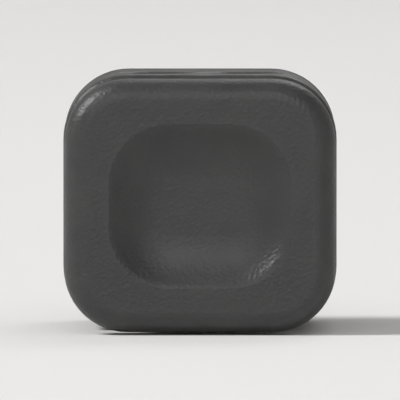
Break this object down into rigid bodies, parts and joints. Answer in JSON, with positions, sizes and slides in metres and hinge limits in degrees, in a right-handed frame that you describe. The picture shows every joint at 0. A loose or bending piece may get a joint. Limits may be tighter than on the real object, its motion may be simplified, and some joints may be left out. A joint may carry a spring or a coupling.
{
  "type": "cord lock",
  "caption": "Spring-loaded cord lock: a rounded-square barrel and a push plunger whose cord holes line up when its dished thumb pad is pressed, and pinch the cords when it is let go.",
  "frame": {"origin": "under the middle of the whole lock at rest, on the surface that it lies on", "axes": "+Z along the cords, +X across the two cords, +Y the way the plunger is pressed, so the thumb pad faces -Y"},
  "size_m": [0.0136, 0.0182, 0.0127],
  "materials": {
    "barrel_plastic": "charcoal acetal, fine moulded grain",
    "plunger_plastic": "charcoal acetal, fine moulded grain, smoother where it is pressed",
    "spring_steel": "drawn spring wire"
  },
  "bodies": {
    "barrel": {"barrel": "barrel_plastic", "spring": "spring_steel"},
    "plunger": {"plunger": "plunger_plastic"}
  },
  "joints": [
    {"name": "plunger_press", "type": "slide", "parent": "barrel", "child": "plunger", "axis": [0, 1, 0], "range_m": [0, 0.003], "stiffness_N_per_m": 2000, "deforming": ["spring"]}
  ]
}
